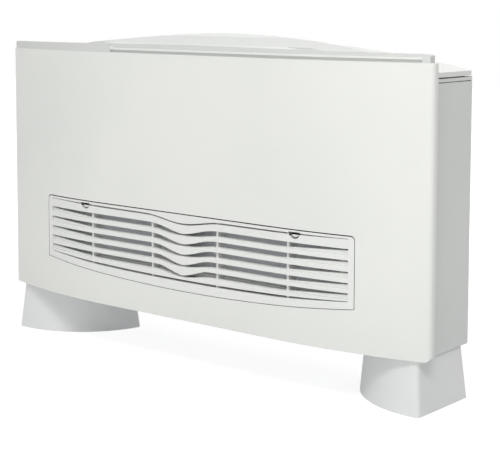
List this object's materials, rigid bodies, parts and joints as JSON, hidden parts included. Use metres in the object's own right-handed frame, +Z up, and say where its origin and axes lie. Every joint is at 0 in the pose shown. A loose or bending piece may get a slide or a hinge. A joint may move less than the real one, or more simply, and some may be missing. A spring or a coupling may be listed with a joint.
{
  "type": "fan coil unit",
  "caption": "Floor-standing fan coil unit: bowed white front panel with a wave-slatted intake grille, vaulted head with a tilting outlet flap, and flared feet at both ends.",
  "frame": {"origin": "on the floor under the middle of the casing: the middle of the bounding box, at its bottom", "axes": "+X to the right as seen from the front, +Y to the wall at the rear, +Z up; the bowed front faces -Y"},
  "size_m": [0.98, 0.193, 0.5976],
  "materials": {
    "paint_white": "fine-textured powder coat",
    "plastic_white": "semi-gloss moulding",
    "plastic_rail": "semi-gloss moulding",
    "plastic_flap": "semi-gloss moulding",
    "plastic_foot": "satin moulding",
    "zinc_sheet": "galvanised sheet",
    "steel": "bright steel",
    "fin_aluminium": "bare fin stock",
    "copper": "drawn copper",
    "brass_fitting": "turned brass",
    "black_plastic": "moulded",
    "grey_plastic": "moulded",
    "motor_grey": "satin enamel",
    "rubber_ring": "matt",
    "filter_weave": "woven"
  },
  "bodies": {
    "casing": {"front_panel": "paint_white", "side_left": "paint_white", "side_right": "paint_white", "base_panel": "zinc_sheet", "rear_plate": "zinc_sheet", "gable_left": "zinc_sheet", "gable_right": "zinc_sheet", "fan_deck": "zinc_sheet", "foot_left": "plastic_foot", "foot_right": "plastic_foot", "foot_screws": "steel", "head_cover": "plastic_white", "head_rail": "plastic_rail", "outlet_vanes": "plastic_white", "scroll_left": "grey_plastic", "scroll_right": "grey_plastic", "fan_motor": "motor_grey", "motor_bracket": "zinc_sheet", "motor_rings": "rubber_ring", "bearing_brackets": "zinc_sheet", "bearing_bushes": "brass_fitting", "coil_fins": "fin_aluminium", "coil_tubes": "copper", "coil_end_plates": "zinc_sheet", "header_supply": "copper", "header_return": "copper", "union_supply": "brass_fitting", "union_return": "brass_fitting", "air_vents": "brass_fitting", "drip_tray": "grey_plastic", "terminal_box": "zinc_sheet", "terminal_lid": "zinc_sheet", "terminal_block": "black_plastic", "cable_gland": "black_plastic", "motor_capacitor": "steel"},
    "fan": {"fan_shaft": "steel", "wheel_left": "black_plastic", "wheel_right": "black_plastic"},
    "flap": {"outlet_flap": "plastic_flap", "flap_pins": "steel"},
    "grille": {"intake_grille": "plastic_white", "filter_frame": "plastic_white", "filter_mesh": "filter_weave"},
    "catch_l": {"catch_left": "plastic_white"},
    "catch_r": {"catch_right": "plastic_white"}
  },
  "joints": [
    {"name": "fan_spin", "type": "hinge", "parent": "casing", "child": "fan", "pos_m": [0, 0.015, 0.205], "axis": [1, 0, 0], "continuous": true},
    {"name": "flap_tilt", "type": "hinge", "parent": "casing", "child": "flap", "pos_m": [0, -0.0185, 0.5635], "axis": [-1, 0, 0], "range_deg": [0, 40]},
    {"name": "grille_swing", "type": "hinge", "parent": "casing", "child": "grille", "pos_m": [0, -0.0965, 0.143], "axis": [1, 0, 0], "range_deg": [0, 80]},
    {"name": "catch_left_slide", "type": "slide", "parent": "grille", "child": "catch_l", "axis": [0, 0, -1], "range_m": [0, 0.0025], "stiffness_N_per_m": 300, "springref_m": -0.001},
    {"name": "catch_right_slide", "type": "slide", "parent": "grille", "child": "catch_r", "axis": [0, 0, -1], "range_m": [0, 0.0025], "stiffness_N_per_m": 300, "springref_m": -0.001}
  ]
}
